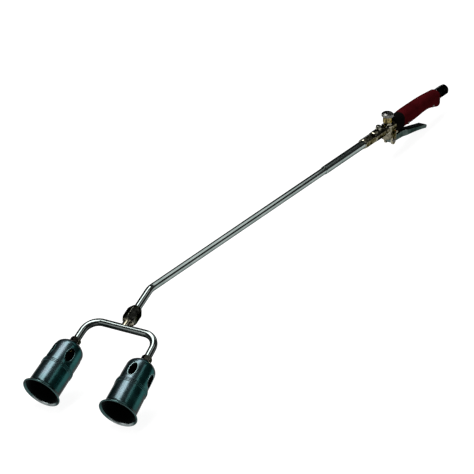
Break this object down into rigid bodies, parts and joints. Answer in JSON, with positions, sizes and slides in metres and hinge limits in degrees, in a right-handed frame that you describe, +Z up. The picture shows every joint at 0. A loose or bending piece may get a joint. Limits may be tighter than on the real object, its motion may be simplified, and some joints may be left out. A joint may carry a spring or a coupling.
{
  "type": "twin-bell gas torch",
  "caption": "Long propane torch with a forked head, two flared bells, a valve with a trigger lever and a moulded grip.",
  "frame": {"origin": "centre of the footprint, on the ground plane that the bell rims and the lever tip rest on", "axes": "+X along the torch towards the hose end, +Z up. The lance runs 4.96 degrees down towards the hose end."},
  "size_m": [1.2172, 0.2, 0.127],
  "materials": {
    "blued_steel": "heat-blued steel, glossy dark teal",
    "chrome_tube": "bright chrome plating",
    "nickel": "nickel plated brass, worn",
    "dark_nickel": "dark nickel plating",
    "brass": "machined brass",
    "steel": "bare steel",
    "grey_steel": "dark grey-green pressed steel",
    "red_plastic": "dark red moulded plastic",
    "black_plastic": "black moulded plastic",
    "black_steel": "black oxide steel",
    "seal": "black sealing rubber"
  },
  "bodies": {
    "torch": {"collar_nut_left": "dark_nickel", "collar_nut_right": "dark_nickel", "flame_disc_left": "steel", "flame_disc_right": "steel", "flame_tube_left": "blued_steel", "flame_tube_right": "blued_steel", "fork_stub": "nickel", "fork_tube": "chrome_tube", "gas_pipe": "brass", "gland_nut": "nickel", "gland_packing": "seal", "grip_ferrule": "black_plastic", "grip_screw_front": "steel", "grip_screw_rear": "steel", "grip_shell_left": "red_plastic", "grip_shell_right": "red_plastic", "hose_nut_clip": "steel", "inlet_nipple": "brass", "jet_left": "brass", "jet_right": "brass", "lance_nut": "nickel", "lance_olive": "brass", "lance_sleeve": "chrome_tube", "lance_tube": "chrome_tube", "lever_pin": "steel", "lever_pin_clip": "steel", "mixing_tube_left": "steel", "mixing_tube_right": "steel", "plunger_bush": "nickel", "rear_cup_left": "blued_steel", "rear_cup_right": "blued_steel", "union_ferrule": "brass", "union_nut": "dark_nickel", "union_seal": "seal", "valve_body": "nickel", "valve_spring": "steel"},
    "lever": {"lever": "grey_steel"},
    "plunger": {"plunger": "steel"},
    "regulator": {"regulator_knob": "steel", "regulator_skirt": "brass", "knob_screw": "steel", "spindle": "steel"},
    "pilot": {"pilot_screw": "dark_nickel"},
    "hose_nut": {"hose_nut": "black_steel"}
  },
  "joints": [
    {"name": "lever_pull", "type": "hinge", "parent": "torch", "child": "lever", "pos_m": [0.41052, 0, 0.02794], "axis": [0, -1, 0], "range_deg": [0, 7], "stiffness_Nm_per_rad": 2.5, "springref_deg": -31.51},
    {"name": "plunger_travel", "type": "slide", "parent": "torch", "child": "plunger", "axis": [0.0864, 0, 0.9963], "range_m": [0, 0.0021], "deforming": ["valve_spring"]},
    {"name": "regulator_turn", "type": "hinge", "parent": "torch", "child": "regulator", "pos_m": [0.40245, 0, 0.07381], "axis": [0.0864, 0, 0.9963], "range_deg": [0, 720]},
    {"name": "pilot_turn", "type": "hinge", "parent": "torch", "child": "pilot", "pos_m": [0.37088, 0, 0.06852], "axis": [0.0864, 0, 0.9963], "range_deg": [0, 540]},
    {"name": "hose_nut_spin", "type": "hinge", "parent": "torch", "child": "hose_nut", "pos_m": [0.593, 0, 0.03722], "axis": [0.9963, 0, -0.0864], "continuous": true}
  ],
  "couplings": [
    {"joint": "plunger_travel", "follows": "lever_pull", "m_per_rad": 0.016}
  ]
}
